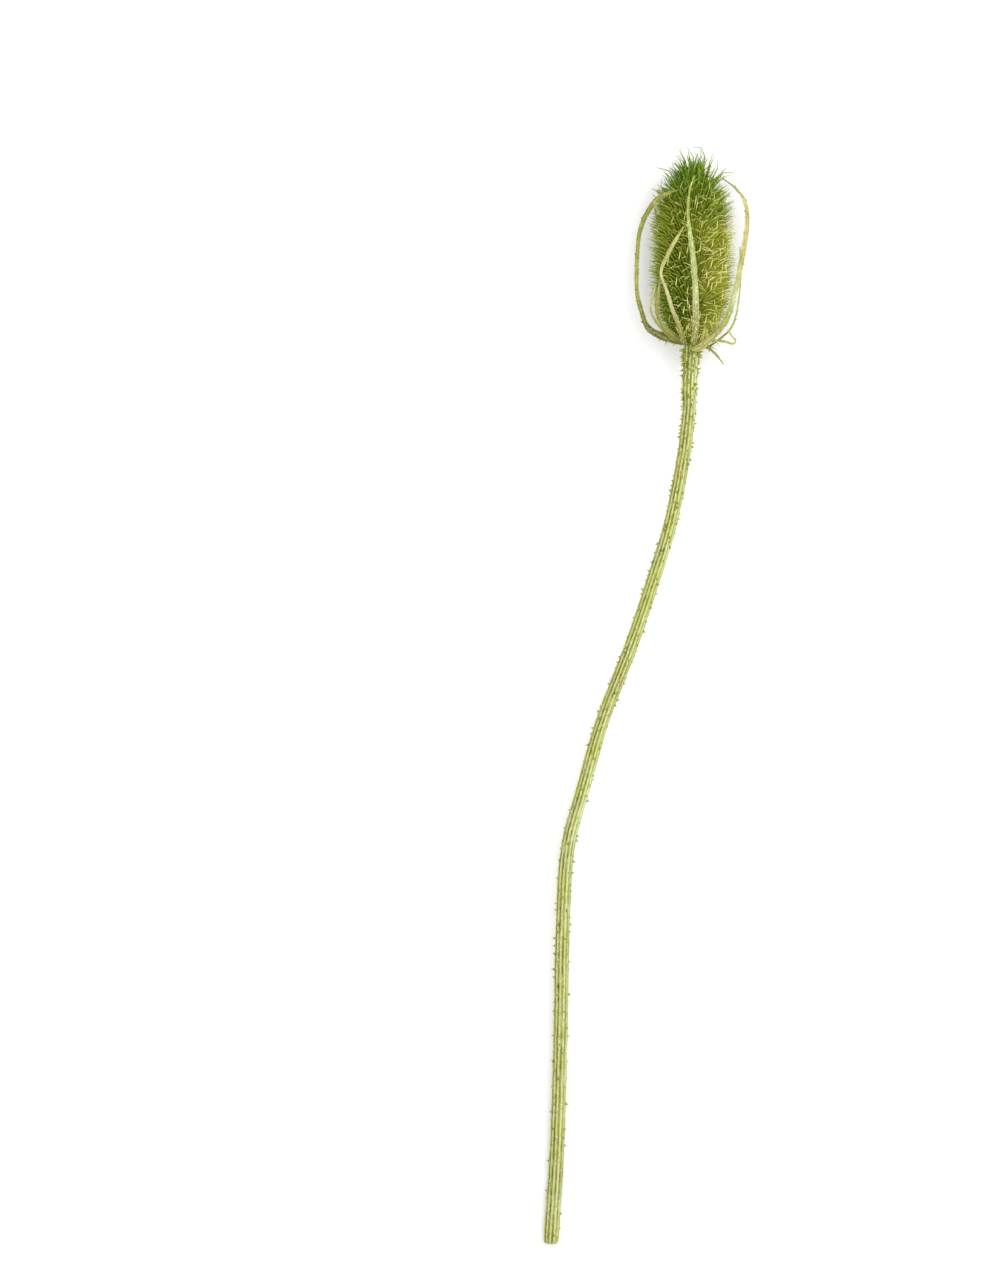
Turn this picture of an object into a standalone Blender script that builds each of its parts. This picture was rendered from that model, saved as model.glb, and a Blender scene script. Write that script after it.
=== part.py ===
"""A dried teasel head with its bracts and a length of cut stem, lying on its back.

It is modelled upright in millimetres, as it grew: +Z up the head's axis from the base of the
head, +X to its right, and its front towards -Y. An empty then lays it down, so that its front
faces up, its tip points along +Y, and it rests on z = 0 on two bracts and the end of the stem.
"""

import math
import random

import bmesh
import bpy
import numpy as np
from mathutils import Matrix, Vector

MM = 0.001
WELD = 1e-6

# Where the base of the head comes to lie, in the object's own frame.
BASE_X = 17.85
BASE_Y = 141.3
AXIS_HEIGHT = 18.68

# Heights above the base of the head, each with the radius there.
CORE_OUTLINE = (
    (0.0, 3.4),
    (1.2, 5.2),
    (4.0, 7.4),
    (9.0, 9.3),
    (17.0, 10.3),
    (28.0, 10.7),
    (41.0, 10.6),
    (52.0, 10.0),
    (60.0, 8.7),
    (66.0, 6.6),
    (70.5, 4.2),
    (73.0, 2.0),
    (74.0, 0.0),
)
CORE_STEPS = 16
BRISTLE_OUTLINE = (
    (0.0, 6.0),
    (0.8, 6.8),
    (2.8, 9.6),
    (6.0, 11.8),
    (10.8, 15.4),
    (16.8, 17.2),
    (24.8, 18.2),
    (41.0, 18.1),
    (56.8, 17.6),
    (63.2, 16.6),
    (66.8, 14.6),
    (71.6, 10.6),
    (75.5, 8.4),
    (77.8, 6.0),
    (78.8, 2.5),
    (79.2, 0.0),
)
# How steeply a bristle rises from the horizontal, by the height of its root.
BRISTLE_RISE = (
    (0.0, 2.0),
    (8.0, 16.0),
    (20.0, 31.0),
    (40.0, 38.0),
    (55.0, 47.0),
    (64.0, 62.0),
    (72.0, 82.0),
)
BRISTLE_COUNT = 1000
BRISTLE_LOWEST = 1.9
BRISTLE_SIDES = 3
BRISTLE_RADIUS = 0.95
BRISTLE_LONGEST = 14.0
BRISTLE_SUNK = 2.2
BRISTLE_SHORTER = 0.12
BRISTLE_SWAY = 4.0
SKIN_SAMPLES = 400
HALVINGS = 20
GOLDEN_ANGLE = math.pi * (3 - math.sqrt(5))
SEED = 7

# The stem's centre line, from under the head down to the cut: right, up and its radius.
STEM_PATH = (
    (-0.1, -0.6, 3.3),
    (-0.5, -7.0, 3.1),
    (-1.0, -16.0, 2.95),
    (-1.3, -28.4, 2.8),
    (-3.8, -48.4, 2.75),
    (-9.0, -74.0, 2.75),
    (-16.4, -98.0, 2.75),
    (-24.8, -122.8, 2.75),
    (-35.6, -151.0, 2.75),
    (-43.6, -179.0, 2.8),
    (-49.8, -203.2, 2.85),
    (-51.8, -236.0, 2.9),
    (-52.6, -278.0, 2.95),
    (-54.0, -322.0, 3.0),
    (-56.4, -361.2, 3.1),
)
STEM_END_HEIGHT = 3.1
STEM_RIBS = 8
GROOVE_DEPTH = 0.13
STEM_STEPS = 2
COLLAR_PRICKLES = 60
COLLAR_FROM = -4.6
COLLAR_TO = -19.0
LAST_PRICKLE = -357.0
STEM_PRICKLES = 112
PRICKLE_SIDES = 3
PRICKLE_RADIUS = 0.42
PRICKLE_SUNK = 0.7
PRICKLE_LENGTHS = (0.9, 1.4)
FLOOR_CLEARANCE = 0.3

# Each bract's line round the head's axis: azimuth in degrees (0 right, 90 front), distance
# from the axis, height, and the blade's width there.
BRACTS = {
    "bract_left_outer": (
        (181, 3.9, -1.0, 2.0),
        (181, 6.2, -0.5, 2.8),
        (183, 9.6, 1.0, 2.7),
        (187, 14.6, 3.4, 2.2),
        (187, 17.9, 6.1, 1.9),
        (186, 20.0, 11.4, 1.7),
        (185, 22.0, 19.5, 1.6),
        (183, 22.2, 29.0, 1.6),
        (178, 21.7, 37.8, 1.6),
        (164, 21.4, 45.4, 1.6),
        (150, 20.6, 51.6, 1.6),
        (136, 19.6, 56.5, 1.5),
        (121, 18.9, 58.9, 1.2),
        (110, 18.6, 59.8, 0.5),
    ),
    "bract_front_kinked": (
        (128, 3.9, -0.9, 1.7),
        (120, 6.6, -0.4, 2.1),
        (115, 9.4, 1.8, 2.1),
        (115, 13.4, 6.8, 2.0),
        (119, 17.0, 12.8, 1.8),
        (123, 18.6, 19.2, 1.4),
        (131, 19.3, 27.2, 1.2),
        (122, 19.2, 33.8, 1.7),
        (112, 19.2, 39.6, 1.5),
        (101, 18.9, 45.4, 0.5),
    ),
    "bract_left_inner": (
        (145, 3.9, -2.5, 1.3),
        (144, 6.8, -2.0, 1.7),
        (143, 11.6, 4.0, 1.7),
        (150, 14.8, 7.6, 1.6),
        (149, 17.0, 11.6, 1.5),
        (140, 18.6, 17.4, 1.2),
        (136, 19.1, 24.6, 0.5),
    ),
    "bract_left_thin": (
        (166, 3.9, -2.6, 0.9),
        (163, 7.6, -1.6, 1.2),
        (160, 11.8, 3.4, 1.2),
        (163, 15.6, 7.8, 1.1),
        (163, 18.6, 13.0, 1.0),
        (146, 20.0, 18.8, 0.8),
        (139, 20.4, 22.4, 0.5),
    ),
    "bract_front_centre": (
        (86, 3.9, -0.9, 2.0),
        (85, 6.4, -0.7, 2.8),
        (85, 9.6, 1.6, 3.2),
        (85, 13.6, 6.2, 3.1),
        (86, 17.3, 13.0, 2.9),
        (87, 18.8, 20.8, 2.6),
        (90, 19.3, 33.8, 2.4),
        (94, 19.3, 44.0, 1.5),
        (96, 19.0, 52.0, 1.0),
        (94, 18.2, 60.0, 0.8),
        (88, 16.6, 65.6, 0.5),
    ),
    "bract_front_small": (
        (50, 3.9, -0.8, 1.0),
        (56, 6.3, 0.3, 1.1),
        (62, 8.9, 1.8, 1.1),
        (68, 11.7, 4.2, 1.0),
        (70, 13.5, 6.6, 0.5),
    ),
    "bract_right_outer": (
        (88, 4.2, -3.0, 1.6),
        (62, 7.2, -2.2, 2.1),
        (48, 11.0, 1.6, 2.2),
        (42, 15.4, 5.6, 2.3),
        (39, 18.6, 10.8, 2.2),
        (34, 20.2, 19.0, 2.1),
        (24, 21.2, 31.0, 2.1),
        (14, 22.0, 41.8, 2.0),
        (5, 22.2, 51.0, 1.9),
        (0, 20.6, 57.4, 1.6),
        (-8, 18.4, 60.8, 1.3),
        (-28, 17.5, 63.6, 1.0),
        (-42, 16.6, 66.0, 0.5),
    ),
    "bract_right_rear": (
        (-22, 3.9, -2.5, 1.2),
        (-18, 7.6, -1.4, 1.4),
        (-16, 12.2, 1.8, 1.4),
        (-15, 16.4, 6.0, 1.3),
        (-17, 19.0, 13.0, 1.3),
        (-18, 20.4, 22.8, 1.2),
        (-19, 20.6, 31.0, 1.0),
        (-19, 20.4, 38.0, 0.5),
    ),
    "bract_right_folded": (
        (5, 3.9, -0.9, 1.3),
        (7, 8.6, 0.4, 1.5),
        (4, 12.8, 0.2, 1.4),
        (0, 16.4, -0.7, 1.2),
        (-1, 17.4, 0.8, 1.1),
        (2, 15.8, 2.6, 0.9),
        (5, 14.5, 4.6, 0.5),
    ),
    "bract_lower_spike": (
        (30, 3.9, -3.6, 1.0),
        (20, 6.0, -3.2, 1.1),
        (14, 8.4, -4.2, 1.0),
        (11, 10.9, -6.6, 0.8),
        (9, 12.5, -9.0, 0.5),
    ),
    "bract_under_left": (
        (240, 3.9, -1.0, 1.9),
        (240, 6.8, -0.6, 2.6),
        (240, 11.4, 1.8, 2.4),
        (240, 16.2, 6.0, 2.2),
        (240, 19.6, 13.0, 2.0),
        (240, 20.8, 22.0, 1.9),
        (240, 21.0, 30.0, 1.9),
        (238, 20.8, 38.0, 1.8),
        (230, 20.2, 47.0, 1.5),
        (220, 19.2, 54.0, 0.5),
    ),
    "bract_under_right": (
        (300, 3.9, -1.0, 1.9),
        (300, 6.8, -0.6, 2.4),
        (300, 11.4, 1.8, 2.2),
        (300, 16.2, 6.0, 2.1),
        (300, 19.6, 13.0, 2.0),
        (300, 20.8, 22.0, 1.9),
        (300, 21.0, 30.0, 1.9),
        (303, 20.8, 38.0, 1.7),
        (308, 20.0, 45.0, 1.3),
        (312, 19.4, 49.0, 0.5),
    ),
    "bract_under_short": (
        (270, 3.9, -2.5, 1.3),
        (270, 7.2, -1.9, 1.7),
        (268, 11.2, 1.6, 1.5),
        (266, 14.4, 6.0, 1.2),
        (265, 16.6, 10.4, 0.5),
    ),
}
# How far the long bows are turned about their own line, which shows their breadth from the front.
BRACT_ROLLS = {
    "bract_left_outer": 52,
    "bract_front_kinked": 10,
    "bract_left_thin": 30,
    "bract_right_outer": -48,
    "bract_right_rear": -40,
    "bract_right_folded": -35,
    "bract_lower_spike": -30,
}
BRACT_STEPS = 2
KEEL_THICKNESS = 0.55
INNER_THICKNESS = 0.3
TIP_THICKNESS = 0.7
TIP_LENGTH = 0.8
BRACT_FACES_AWAY_FROM = Vector((0, 0, 32))
BRACT_PRICKLES = 7
FIRST_PRICKLED_RING = 3
BARE_TIP_RINGS = 4
PRICKLE_PLACE = 0.36
PRICKLE_AIM = (0.8, 0.5, 0.3)
BRACT_PRICKLE_RADIUS = 0.3
BRACT_PRICKLE_SUNK = 0.5
BRACT_PRICKLE_LENGTHS = (1.0, 1.7)

# Base colour and roughness.
FINISHES = {
    "head": ((0.20, 0.28, 0.035), 0.75),
    "stem": ((0.60, 0.58, 0.27), 0.65),
    "bract": ((0.42, 0.45, 0.12), 0.65),
}


def clear_scene():
    for thing in list(bpy.data.objects):
        bpy.data.objects.remove(thing, do_unlink=True)
    for mesh in list(bpy.data.meshes):
        bpy.data.meshes.remove(mesh)


def new_collection(name):
    collection = bpy.data.collections.new(name)
    bpy.context.scene.collection.children.link(collection)
    return collection


def finish(name):
    colour, roughness = FINISHES[name]
    material = bpy.data.materials.new(name)
    material.use_nodes = True
    shader = material.node_tree.nodes["Principled BSDF"]
    shader.inputs["Base Color"].default_value = (*colour, 1)
    shader.inputs["Roughness"].default_value = roughness
    shader.inputs["Metallic"].default_value = 0
    return material


def outline_at(outline, height):
    heights, radii = zip(*outline)
    return float(np.interp(height, heights, radii))


def round_axis(azimuth, radius, height):
    """A point in the upright frame, from its azimuth in radians, 0 right and 90 degrees front."""
    return Vector((radius * math.cos(azimuth), -radius * math.sin(azimuth), height))


def through(points, steps):
    """Rows of numbers read from a smooth curve that passes through the given rows."""
    rows = np.array(points, float)
    padded = np.vstack([2 * rows[0] - rows[1], rows, 2 * rows[-1] - rows[-2]])
    curve = []
    for before, start, end, after in zip(padded, padded[1:], padded[2:], padded[3:]):
        for step in range(steps):
            s = step / steps
            curve.append(
                start
                + 0.5 * s * (end - before)
                + s * s * (before - 2.5 * start + 2 * end - 0.5 * after)
                + s * s * s * (1.5 * (start - end) + 0.5 * (after - before))
            )
    curve.append(rows[-1])
    return np.array(curve)


def spike_mesh(sides):
    """A cone of base radius 1 and height 1, standing on its base's centre."""
    spike = bmesh.new()
    bmesh.ops.create_cone(spike, cap_ends=True, segments=sides, radius1=1, radius2=0, depth=1)
    bmesh.ops.translate(spike, verts=spike.verts, vec=(0, 0, 0.5))
    bmesh.ops.remove_doubles(spike, verts=spike.verts, dist=WELD)
    mesh = bpy.data.meshes.new("spike")
    spike.to_mesh(mesh)
    spike.free()
    return mesh


def add_spike(collection, mesh, root, direction, radius, length, sunk, turn):
    """A spike whose visible length starts at root, with its base sunk below it."""
    aim = direction.normalized()
    spike = bpy.data.objects.new("spike", mesh)
    spin = Matrix.Rotation(turn, 4, "Z")
    grow = Matrix.Diagonal((radius * MM, radius * MM, (length + sunk) * MM, 1))
    turned = aim.to_track_quat("Z", "Y").to_matrix().to_4x4()
    spike.matrix_world = Matrix.Translation((root - aim * sunk) * MM) @ turned @ spin @ grow
    collection.objects.link(spike)


def fuse(body, spikes):
    """Joins the collection's objects to the body in one Boolean union, and removes them."""
    union = body.modifiers.new("union", "BOOLEAN")
    union.operation = "UNION"
    union.operand_type = "COLLECTION"
    union.collection = spikes
    union.solver = "EXACT"
    graph = bpy.context.evaluated_depsgraph_get()
    joined = bpy.data.meshes.new_from_object(body.evaluated_get(graph))
    body.modifiers.clear()
    plain = body.data
    body.data = joined
    joined.name = body.name
    bpy.data.meshes.remove(plain)
    for spike in list(spikes.objects):
        bpy.data.objects.remove(spike)
    bpy.data.collections.remove(spikes)


def place(thing, upright, material):
    thing.parent = upright
    thing.data.materials.clear()
    thing.data.materials.append(material)
    thing.data.shade_flat()


def make_core(collection):
    """The receptacle, turned from its outline. The outline runs from its top to its base."""
    profile = bmesh.new()
    corners = [
        profile.verts.new((radius * MM, 0, height * MM)) for height, radius in reversed(CORE_OUTLINE)
    ]
    corners.append(profile.verts.new((0, 0, CORE_OUTLINE[0][0] * MM)))
    for upper, lower in zip(corners, corners[1:]):
        profile.edges.new((upper, lower))
    mesh = bpy.data.meshes.new("core")
    profile.to_mesh(mesh)
    profile.free()
    core = bpy.data.objects.new("head", mesh)
    collection.objects.link(core)
    screw = core.modifiers.new("turn", "SCREW")
    screw.steps = CORE_STEPS
    screw.render_steps = CORE_STEPS
    screw.use_merge_vertices = True
    screw.merge_threshold = WELD
    return core


def bristle_heights(count):
    """Heights of the bristles' roots, an equal share of the core's skin to each."""
    heights = np.linspace(BRISTLE_LOWEST, CORE_OUTLINE[-1][0], SKIN_SAMPLES)
    radii = np.interp(heights, *zip(*CORE_OUTLINE))
    slant = np.hypot(np.diff(heights), np.diff(radii))
    skin = np.concatenate([[0], np.cumsum(slant * (radii[1:] + radii[:-1]) / 2)])
    shares = (np.arange(count) + 0.5) / count
    return np.interp(shares * skin[-1], skin, heights)


def bristle_length(height, rise):
    """How long a bristle from this height is, to end on the outline of the tips."""
    radius = outline_at(CORE_OUTLINE, height)
    short, long = 0.0, BRISTLE_LONGEST
    for _ in range(HALVINGS):
        middle = (short + long) / 2
        tip_height = height + middle * math.sin(rise)
        inside = radius + middle * math.cos(rise) < outline_at(BRISTLE_OUTLINE, tip_height)
        short, long = (middle, long) if inside else (short, middle)
    return short


def make_head(collection, upright, material):
    chance = random.Random(SEED)
    core = make_core(collection)
    spikes = new_collection("bristles")
    spike = spike_mesh(BRISTLE_SIDES)
    for number, height in enumerate(bristle_heights(BRISTLE_COUNT)):
        azimuth = number * GOLDEN_ANGLE
        root = round_axis(azimuth, outline_at(CORE_OUTLINE, height), height)
        rise = math.radians(outline_at(BRISTLE_RISE, height))
        length = bristle_length(height, rise) * (1 - BRISTLE_SHORTER * chance.random())
        rise += math.radians(chance.uniform(-BRISTLE_SWAY, 0))
        lean = azimuth + math.radians(chance.uniform(-BRISTLE_SWAY, BRISTLE_SWAY))
        direction = round_axis(lean, math.cos(rise), math.sin(rise))
        turn = chance.uniform(0, math.tau)
        add_spike(spikes, spike, root, direction, BRISTLE_RADIUS, length, BRISTLE_SUNK, turn)
    fuse(core, spikes)
    place(core, upright, material)


def stem_line():
    """Rows of right, back, up and radius along the stem, which sinks evenly to its cut end."""
    top, bottom = STEM_PATH[0][1], STEM_PATH[-1][1]
    rows = []
    for right, up, radius in STEM_PATH:
        share = (top - up) / (top - bottom)
        rows.append((right, share * (AXIS_HEIGHT - STEM_END_HEIGHT), up, radius))
    return through(rows, STEM_STEPS)


def rib_profile():
    """The stem's cross-section at radius 1, ribs and grooves in turn, as a closed curve."""
    data = bpy.data.curves.new("rib_profile", "CURVE")
    data.dimensions = "2D"
    outline = data.splines.new("POLY")
    outline.points.add(2 * STEM_RIBS - 1)
    for number, corner in enumerate(outline.points):
        angle = math.pi * number / STEM_RIBS
        radius = (1 - GROOVE_DEPTH * (number % 2)) * MM
        corner.co = (radius * math.cos(angle), radius * math.sin(angle), 0, 1)
    outline.use_cyclic_u = True
    return bpy.data.objects.new("rib_profile", data)


def make_stalk(collection, line):
    """The ribbed stem without its prickles, as a mesh."""
    profile = rib_profile()
    collection.objects.link(profile)
    data = bpy.data.curves.new("stalk", "CURVE")
    data.dimensions = "3D"
    data.bevel_mode = "OBJECT"
    data.bevel_object = profile
    data.use_fill_caps = True
    route = data.splines.new("POLY")
    route.points.add(len(line) - 1)
    for point, (right, back, up, radius) in zip(route.points, line):
        point.co = (right * MM, back * MM, up * MM, 1)
        point.radius = radius
    curve = bpy.data.objects.new("stalk", data)
    collection.objects.link(curve)
    graph = bpy.context.evaluated_depsgraph_get()
    mesh = bpy.data.meshes.new_from_object(curve.evaluated_get(graph))
    welded = bmesh.new()
    welded.from_mesh(mesh)
    bmesh.ops.remove_doubles(welded, verts=welded.verts, dist=WELD)
    bmesh.ops.recalc_face_normals(welded, faces=welded.faces)
    welded.to_mesh(mesh)
    welded.free()
    bpy.data.objects.remove(curve)
    bpy.data.objects.remove(profile)
    stalk = bpy.data.objects.new("stem", mesh)
    collection.objects.link(stalk)
    return stalk


def add_stem_prickle(spikes, spike, line, up, azimuth, length):
    """A prickle square to the stem at this height, unless it would reach the floor."""
    right, back, radius = (float(np.interp(-up, -line[:, 2], line[:, i])) for i in (0, 1, 3))
    outward = round_axis(azimuth, 1, 0)
    root = Vector((right, back, up)) + outward * radius * (1 - GROOVE_DEPTH / 2)
    tip = root + outward * length
    if AXIS_HEIGHT - tip.y > FLOOR_CLEARANCE:
        add_spike(spikes, spike, root, outward, PRICKLE_RADIUS, length, PRICKLE_SUNK, azimuth)


def make_stem(collection, upright, material):
    chance = random.Random(SEED)
    line = stem_line()
    stalk = make_stalk(collection, line)
    spikes = new_collection("prickles")
    spike = spike_mesh(PRICKLE_SIDES)
    rows = (
        (COLLAR_PRICKLES, COLLAR_FROM, COLLAR_TO),
        (STEM_PRICKLES, COLLAR_TO, LAST_PRICKLE),
    )
    for count, start, end in rows:
        for number in range(count):
            up = start + (end - start) * (number + 0.5) / count
            azimuth = number * GOLDEN_ANGLE
            add_stem_prickle(spikes, spike, line, up, azimuth, chance.uniform(*PRICKLE_LENGTHS))
    fuse(stalk, spikes)
    place(stalk, upright, material)


def bract_frames(rows, roll):
    """Along a bract: its centre, the way it runs, its blade's side, its outer face and its width."""
    points = [round_axis(math.radians(azimuth), radius, up) for azimuth, radius, up, _ in rows]
    frames = []
    side = None
    for number, point in enumerate(points):
        ahead = points[min(number + 1, len(points) - 1)]
        behind = points[max(number - 1, 0)]
        along = (ahead - behind).normalized()
        across = along.cross(point - BRACT_FACES_AWAY_FROM).normalized()
        side = -across if side is not None and across.dot(side) < 0 else across
        turned = Matrix.Rotation(roll, 3, along) @ side
        frames.append((point, along, turned, turned.cross(along), rows[number][3]))
    return frames


def make_blade(name, collection, frames):
    """A keeled blade lofted through diamond sections, from its root to a point."""
    blade = bmesh.new()
    rings = []
    for number, (centre, _, side, face, width) in enumerate(frames):
        slim = 1 - (1 - TIP_THICKNESS) * number / (len(frames) - 1)
        corners = (
            centre + side * width / 2,
            centre + face * KEEL_THICKNESS * slim,
            centre - side * width / 2,
            centre - face * INNER_THICKNESS * slim,
        )
        rings.append([blade.verts.new(corner * MM) for corner in corners])
    for near, far in zip(rings, rings[1:]):
        for first in range(4):
            second = (first + 1) % 4
            blade.faces.new((near[first], near[second], far[second], far[first]))
    blade.faces.new(rings[0])
    tip = blade.verts.new((frames[-1][0] + frames[-1][1] * TIP_LENGTH) * MM)
    for first in range(4):
        blade.faces.new((rings[-1][first], rings[-1][(first + 1) % 4], tip))
    bmesh.ops.triangulate(blade, faces=blade.faces)
    bmesh.ops.recalc_face_normals(blade, faces=blade.faces)
    mesh = bpy.data.meshes.new(name)
    blade.to_mesh(mesh)
    blade.free()
    thing = bpy.data.objects.new(name, mesh)
    collection.objects.link(thing)
    return thing


def make_bract(name, collection, upright, material):
    chance = random.Random(name)
    rows = through(BRACTS[name], BRACT_STEPS)
    frames = bract_frames(rows, math.radians(BRACT_ROLLS.get(name, 0)))
    blade = make_blade(name, collection, frames)
    spikes = new_collection("edge_prickles")
    spike = spike_mesh(PRICKLE_SIDES)
    prickled = frames[FIRST_PRICKLED_RING:-BARE_TIP_RINGS]
    for number in range(BRACT_PRICKLES):
        centre, along, side, face, width = prickled[number * len(prickled) // BRACT_PRICKLES]
        edge = side if number % 2 else -side
        direction = edge * PRICKLE_AIM[0] + along * PRICKLE_AIM[1] + face * PRICKLE_AIM[2]
        root = centre + edge * width * PRICKLE_PLACE
        length = chance.uniform(*BRACT_PRICKLE_LENGTHS)
        tip = root + direction.normalized() * length
        if AXIS_HEIGHT - tip.y > FLOOR_CLEARANCE:
            add_spike(spikes, spike, root, direction, BRACT_PRICKLE_RADIUS, length, BRACT_PRICKLE_SUNK, 0)
    fuse(blade, spikes)
    place(blade, upright, material)


def main():
    clear_scene()
    teasel = new_collection("dried_teasel_head")
    upright = bpy.data.objects.new("upright", None)
    upright.location = (BASE_X * MM, BASE_Y * MM, AXIS_HEIGHT * MM)
    upright.rotation_euler = (-math.pi / 2, 0, 0)
    teasel.objects.link(upright)
    make_head(teasel, upright, finish("head"))
    make_stem(teasel, upright, finish("stem"))
    for name in BRACTS:
        make_bract(name, teasel, upright, finish("bract"))


main()
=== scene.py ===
import math
import random

import bmesh
import bpy
import numpy as np
from mathutils import Matrix, Vector, noise


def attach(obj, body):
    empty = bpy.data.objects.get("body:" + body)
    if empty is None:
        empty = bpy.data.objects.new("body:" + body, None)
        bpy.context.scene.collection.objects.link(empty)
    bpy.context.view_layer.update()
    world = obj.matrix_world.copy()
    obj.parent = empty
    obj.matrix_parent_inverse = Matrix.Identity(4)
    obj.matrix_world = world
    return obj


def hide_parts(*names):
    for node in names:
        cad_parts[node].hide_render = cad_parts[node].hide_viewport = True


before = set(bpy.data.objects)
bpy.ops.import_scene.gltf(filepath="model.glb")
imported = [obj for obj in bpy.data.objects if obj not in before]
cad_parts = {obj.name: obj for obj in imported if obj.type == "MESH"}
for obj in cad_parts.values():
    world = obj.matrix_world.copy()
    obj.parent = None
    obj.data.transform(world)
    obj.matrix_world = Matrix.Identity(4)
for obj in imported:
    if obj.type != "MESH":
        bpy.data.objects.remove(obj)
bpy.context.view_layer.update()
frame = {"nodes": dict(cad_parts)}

# Sizes below are in millimetres, and become metres where a mesh is made.
MM = 0.001
SEED = 11
GOLDEN_ANGLE = math.pi * (3 - math.sqrt(5))

# The base of the head: its axis lies along +Y from here, with the front of the head up.
BASE_X = 17.85
BASE_Y = 141.3
AXIS_HEIGHT = 18.68

# Heights above the base of the head, each with the radius there. The core starts in the stem.
CORE_OUTLINE = (
    (-2.4, 2.4),
    (0.0, 3.4),
    (1.2, 5.2),
    (4.0, 7.4),
    (9.0, 9.3),
    (17.0, 10.3),
    (28.0, 10.7),
    (41.0, 10.6),
    (50.0, 9.9),
    (56.5, 8.5),
    (61.0, 6.4),
    (64.4, 4.0),
    (66.2, 1.9),
    (66.8, 0.05),
)
CORE_CORNERS = 32
TIP_OUTLINE = (
    (0.0, 6.0),
    (0.8, 6.8),
    (2.8, 9.6),
    (6.0, 11.8),
    (10.8, 15.4),
    (16.8, 17.2),
    (24.8, 18.2),
    (41.0, 18.1),
    (56.8, 17.6),
    (63.2, 16.6),
    (66.8, 14.6),
    (71.6, 10.6),
    (75.5, 8.4),
    (77.8, 6.0),
    (78.8, 2.5),
    (79.2, 0.0),
)
# How steeply a bristle rises from the horizontal, by the height of its root.
BRISTLE_RISE = (
    (0.0, 2.0),
    (8.0, 16.0),
    (20.0, 31.0),
    (40.0, 38.0),
    (52.0, 44.0),
    (60.0, 58.0),
    (66.0, 82.0),
)
# By how much of its length a bristle falls short of the outline at most, by the same height.
BRISTLE_SHORTER = ((0.0, 0.22), (46.0, 0.28), (58.0, 0.66))
SHORTER_OFTEN = 0.6
# How far bristles lean out of line, in degrees: each by itself, and a whole tuft of them.
BRISTLE_SWAY = ((0.0, 6.0), (48.0, 7.0), (62.0, 14.0))
TUFT_SWAY = 14.0
TUFT_SIZE = 4.5
BRISTLE_COUNT = 2600
BRISTLE_LOWEST = 1.2
BRISTLE_LONGEST = 18.0
SKIN_SAMPLES = 400
HALVINGS = 20
TABLE_GAP = 0.05

# One scale with its bristle: distance from where it leaves the core, half breadth, thickness.
SCALE_RINGS = (
    (-1.5, 0.66, 0.75),
    (0.8, 0.76, 0.74),
    (2.6, 0.58, 0.56),
    (4.6, 0.38, 0.42),
    (7.0, 0.27, 0.30),
    (9.4, 0.21, 0.22),
    (11.1, 0.16, 0.16),
)
SCALE_LENGTH = 11.8
KINK_AT = 9.3
# Across a scale at its base: boat shaped, keeled below.
BOAT = ((-1.0, 0.25), (-0.6, -0.5), (0.0, -0.85), (0.6, -0.5), (1.0, 0.25))
# How far a bristle bows up between its ends, and how its end bends to the side and back.
CALM_BRISTLES = ((1.0, 0.0, 0.0), (0.8, 0.2, -0.2), (1.3, -0.2, -0.1), (1.1, 0.1, 0.3))
BENT_BRISTLES = (
    (0.7, 1.0, 0.4),
    (0.9, -1.1, 0.3),
    (0.6, 0.3, 1.4),
    (1.0, -0.6, -0.9),
    (0.5, 1.4, -0.4),
)
# Bent bristles are commonest towards this azimuth.
BENT_SIDE = 40
BENT_LEAST = 0.07
BENT_MOST = 0.58
BRISTLE_BREADTHS = (0.85, 1.1)
# Each point's tint, from 0 to 1, tells the materials what it belongs to. On the head it is a
# bristle's own shade, where bent bristles start at TINT_OF_BENT and loose hairs have 1.
CORE_TINT = 0.5
TINT_OF_BENT = 0.6
HAIR_TINT = 1.0
# On the stem and the bracts it tells thorns, teeth and spines from the stalk.
STALK_TINT = 0.0
PRICKLE_TINT = HAIR_TINT

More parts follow.
